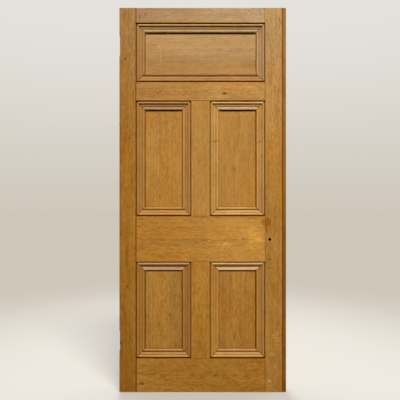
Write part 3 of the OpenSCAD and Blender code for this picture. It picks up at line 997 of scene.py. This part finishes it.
def from_side(pine, name, side):
    """Distance from a board's side; a rail's left and right sides are its shoulders, short of its tenons."""
    low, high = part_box(name)
    if name.endswith("rail"):
        low.x = LINES["top", "left"]
        high.x = LINES["top", "right"]
    at = {"left": low.x, "right": high.x, "low": low.z, "high": high.z}[side]
    place = pine.x if side in ("left", "right") else pine.z
    return pine.graph.math("ABSOLUTE", pine.graph.math("SUBTRACT", at, place))


def dirty_and_shaded_panel(pine, opening):
    """Dark lines on a panel along each of its mouldings: dirt, and painted shadow that is strongest under
    the head.
    """
    for edge in EDGES:
        away = inside(pine, opening, edge, MOULDING_WIDTH)
        width = Moulding(*MOULDINGS[f"{opening}_{edge}"]).foot * MM
        pine.seam(away, width, GRIME_AND_SHADOW if edge == "head" else SEAM_AND_SHADOW)


# The spindle hole: its middle, its blind end, the worn ring round its rim and the edge of the painted shade
# inside
SPINDLE = (0.3545, 0.0, 0.808)
SPINDLE_END = 0.0145
RIM_SPAN = (14 * MM, 9 * MM)
RIM_STRENGTH = 0.55
HOLE_SHADE_SPAN = (8.3 * MM, 7.6 * MM)


def spindle_wear_and_shade(pine):
    """Painted shade inside the spindle hole and pale worn wood round its rim."""
    graph = pine.graph
    away = graph.vector("SUBTRACT", pine.place, SPINDLE)
    away = graph.vector("LENGTH", graph.vector("MULTIPLY", away, (1.0, 0.0, 1.0)))
    ring = pine.broken(graph.times(graph.smooth(away, *RIM_SPAN), pine.front), "rim")
    pine.rub_and_highlight(ring, RIM_STRENGTH)
    blind = graph.smooth(pine.y, SPINDLE_END + MM, SPINDLE_END)
    pine.soil_and_shade(graph.smooth(away, *HOLE_SHADE_SPAN), blind, GRIME_AND_SHADOW)


def dress_boards():
    for seed, (name, facts) in enumerate(BOARDS.items(), 1):
        pine = Pine(name + "_pine", seed=seed, **facts)
        for mark in MARKS.get(name, ()):
            pine.mark(*mark)
        if name.endswith("panel"):
            dirty_and_shaded_panel(pine, name[: -len("_panel")])
        for side, width in SEAMS.get(name, {}).items():
            # Along a rail's low side the line is darkest, as painted shadow in the crevice above the
            # moulding below
            pine.seam(from_side(pine, name, side), width * MM, GRIME_AND_SHADOW if side == "low" else SEAM_AND_SHADOW)
        for side in OUTER.get(name, ()):
            pine.arris(from_side(pine, name, side))
        if name == "lock_stile":
            spindle_wear_and_shade(pine)
        dress(nodes[name], pine.finish())


def across(places):
    """Stops for a ramp across the moulding from places in millimetres."""
    width = MOULDING_WIDTH / MM
    return tuple((min(place / width, 1.0), level) for place, level in places)


def grime_and_shadow_stops(kind, edge, facts):
    """Where dirt and painted shadow lie across a moulding: at the frame, below the bead, below the roll and
    at the panel.
    """
    bead_low, bead_high, roll_low, roll_high = DIRT_AND_SHADOW_SPANS.get(kind) or DIRT_AND_SHADOW_SPANS[edge]
    end = MOULDING_WIDTH / MM
    upright = edge in ("left", "right")
    crevice = UPRIGHT_CREVICE if upright else LEVEL_CREVICE
    foot = min(FOOT_MOST, FOOT_PER_MM * facts.foot) if upright else LEVEL_FOOT
    outer_flank, inner_flank, roll = FAINT_DIRT
    before, after = HOLLOW_EASE
    begin, full = FOOT_EASE
    return across((
        (0.0, crevice), (facts.line, crevice), (facts.line + LINE_EASE, outer_flank),
        (bead_low - QUIRK_EASE, inner_flank), (bead_low, facts.quirk), (bead_high, facts.quirk),
        (bead_high + QUIRK_EASE, facts.fillet), (roll_low - before, facts.fillet),
        (roll_low, facts.hollow), (roll_high, facts.hollow), (roll_high + after, roll),
        (end - begin, 0.0), (end - full, foot), (end, foot),
    ))


def warm_stops(stops):
    """The stops of the dirt and painted shadow with their steps spread wider."""
    spread = []
    for place, _ in stops:
        levels = [level for near, level in stops if abs(near - place) < WARM_SPREAD]
        spread.append((place, max(levels)))
    return spread


def wear_and_highlight_stops(bead, roll):
    """Where rubbing and painted highlight show pale: on the bead, a little on the slope below it, and on the
    roll.
    """
    stops = []
    for (low, high), level in ((BEAD_SPAN, bead), (SLOPE_SPAN, SLOPE_SHARE * bead), (ROLL_SPAN, roll)):
        stops += [(low, 0.0), (low + RUB_SOFT, level), (high - RUB_SOFT, level), (high, 0.0)]
    return across(stops)


def mitre_line(pine, opening, edge):
    """A thin dark line along the mitres at both ends of a moulding."""
    graph = pine.graph
    ends = ("left", "right") if edge in LEVEL_EDGES else ("head", "sill")
    inwards = inside(pine, opening, edge)
    distances = [graph.math("SUBTRACT", inside(pine, opening, end), inwards) for end in ends]
    away = graph.times(graph.math("MINIMUM", *distances), math.sqrt(0.5))
    line = pine.broken(graph.smooth(away, *MITRE_SPAN), "mitre")
    pine.soil_and_shade(line, MITRE_STRENGTH, SEAM_AND_SHADOW)


def moulding_pine(name, opening, edge, seed):
    """The pine of one length of moulding, rubbed and painted with highlight on its high parts, and dirty and
    painted with shadow in its low ones.
    """
    kind = f"{opening}_{edge}"
    facts = Moulding(*MOULDINGS[kind])
    along = "x" if edge in LEVEL_EDGES else "z"
    pith = (PITH_START + PITH_STEP * seed, PITH_DEPTH)
    knots = MOULDING_KNOTS.get(kind, ())
    pine = Pine(name + "_pine", facts.tone, along, seed, pith, knots=knots, contrast=MOULDING_CONTRAST)
    graph = pine.graph
    share = graph.math("DIVIDE", inside(pine, opening, edge), MOULDING_WIDTH)
    wear_and_highlight = pine.broken(graph.ramp(share, wear_and_highlight_stops(facts.bead, facts.roll)), "wear_and_highlight")
    pine.rub_and_highlight(wear_and_highlight, WEAR_AND_HIGHLIGHT_STRENGTH)
    stops = grime_and_shadow_stops(kind, edge, facts)
    warmth = pine.broken(graph.ramp(share, warm_stops(stops)), "dirt_and_shadow")
    pine.tint(warmth, MOULDING_WARMTH, WARMED)
    dirt_and_shadow = pine.broken(graph.ramp(share, stops), "dirt_and_shadow")
    pine.soil_and_shade(dirt_and_shadow, LINE_STRENGTH, GRIME_AND_SHADOW if edge == "head" else SEAM_AND_SHADOW)
    for mark in MOULDING_MARKS.get(kind, ()):
        pine.mark(*mark)
    mitre_line(pine, opening, edge)
    return pine.finish()


def dress_mouldings():
    seed = FIRST_SEED
    for face in FACES:
        for opening in OPENINGS:
            for edge in EDGES:
                seed += 1
                name = f"{face}_{opening}_{edge}_moulding"
                material = moulding_pine(name, opening, edge, seed)
                worn_moulding(name, opening, edge, face, seed, material)


def seen_directly(graph):
    """1 where the camera sees a surface, straight or in gloss or glass."""
    path = graph.add("ShaderNodeLightPath").outputs
    seen = graph.math("MAXIMUM", path["Is Camera Ray"], path["Is Glossy Ray"])
    return graph.math("MAXIMUM", seen, path["Is Transmission Ray"])


def end_in_mix(graph, factor, first, second, kind):
    """Ends a tree of this kind in two shaders mixed by a factor."""
    mixed = graph.fed("ShaderNodeMixShader", factor, first.outputs[0], second.outputs[0])
    graph.fed("ShaderNodeOutput" + kind, mixed.outputs[0])


def build_floor():
    """A pale floor that fades into the backdrop's colour."""
    bpy.ops.mesh.primitive_plane_add(size=2 * FLOOR_HALF, location=(0.0, 0.0, 0.0))
    floor = bpy.context.object
    floor.name = "floor"
    material = bpy.data.materials.new("pale_floor")
    graph = fresh_graph(material)
    flat = graph.vector("MULTIPLY", graph.add("ShaderNodeTexCoord").outputs["Object"], (1.0, 1.0, 0.0))
    far = graph.smooth(graph.vector("LENGTH", flat), *FLOOR_FADE)
    diffuse = graph.named("ShaderNodeBsdfDiffuse", {"Color": (*FLOOR, 1.0)})
    glow = graph.named("ShaderNodeEmission", {"Color": (*BACKGROUND, 1.0)})
    end_in_mix(graph, graph.times(far, seen_directly(graph)), diffuse, glow, "Material")
    floor.data.materials.append(material)


def build_world():
    world = bpy.data.worlds.new("studio")
    bpy.context.scene.world = world
    graph = fresh_graph(world)
    up = graph.split(graph.add("ShaderNodeTexCoord").outputs["Generated"])["Z"]
    strength = graph.math("MULTIPLY_ADD", graph.smooth(up, *SKY_RISE), SKY - GROUND, GROUND)
    fill = graph.named("ShaderNodeBackground", {"Color": (1.0, 1.0, 1.0, 1.0), "Strength": strength})
    shade = graph.mix(graph.smooth(up, *BACKDROP_RISE), BACKGROUND, BACKGROUND_HIGH)
    backdrop = graph.named("ShaderNodeBackground", {"Color": shade})
    end_in_mix(graph, seen_directly(graph), fill, backdrop, "World")


def build_lamps():
    for name, (place, target, size, power) in LAMPS.items():
        light = bpy.data.lights.new(name, "AREA")
        light.shape = "RECTANGLE"
        light.size, light.size_y = size
        light.energy = power
        lamp = bpy.data.objects.new(name, light)
        lamp.location = place
        lamp.rotation_euler = (Vector(target) - Vector(place)).to_track_quat("-Z", "Y").to_euler()
        bpy.context.scene.collection.objects.link(lamp)


def build_camera():
    lens = bpy.data.cameras.new("camera")
    lens.sensor_width = SENSOR
    lens.lens = SENSOR * CAMERA_DISTANCE / (PHOTO_PIXELS * PIXEL)
    camera = bpy.data.objects.new("camera", lens)
    low, high = cad_box
    camera.location = (CAMERA_X, low[1] - CAMERA_DISTANCE, (low[2] + high[2]) / 2)
    camera.rotation_euler = (math.radians(90.0), 0.0, 0.0)
    bpy.context.scene.collection.objects.link(camera)
    bpy.context.scene.camera = camera


dress_boards()
dress_mouldings()
build_floor()
build_world()
build_lamps()
build_camera()
bpy.context.scene.view_settings.view_transform = "Standard"
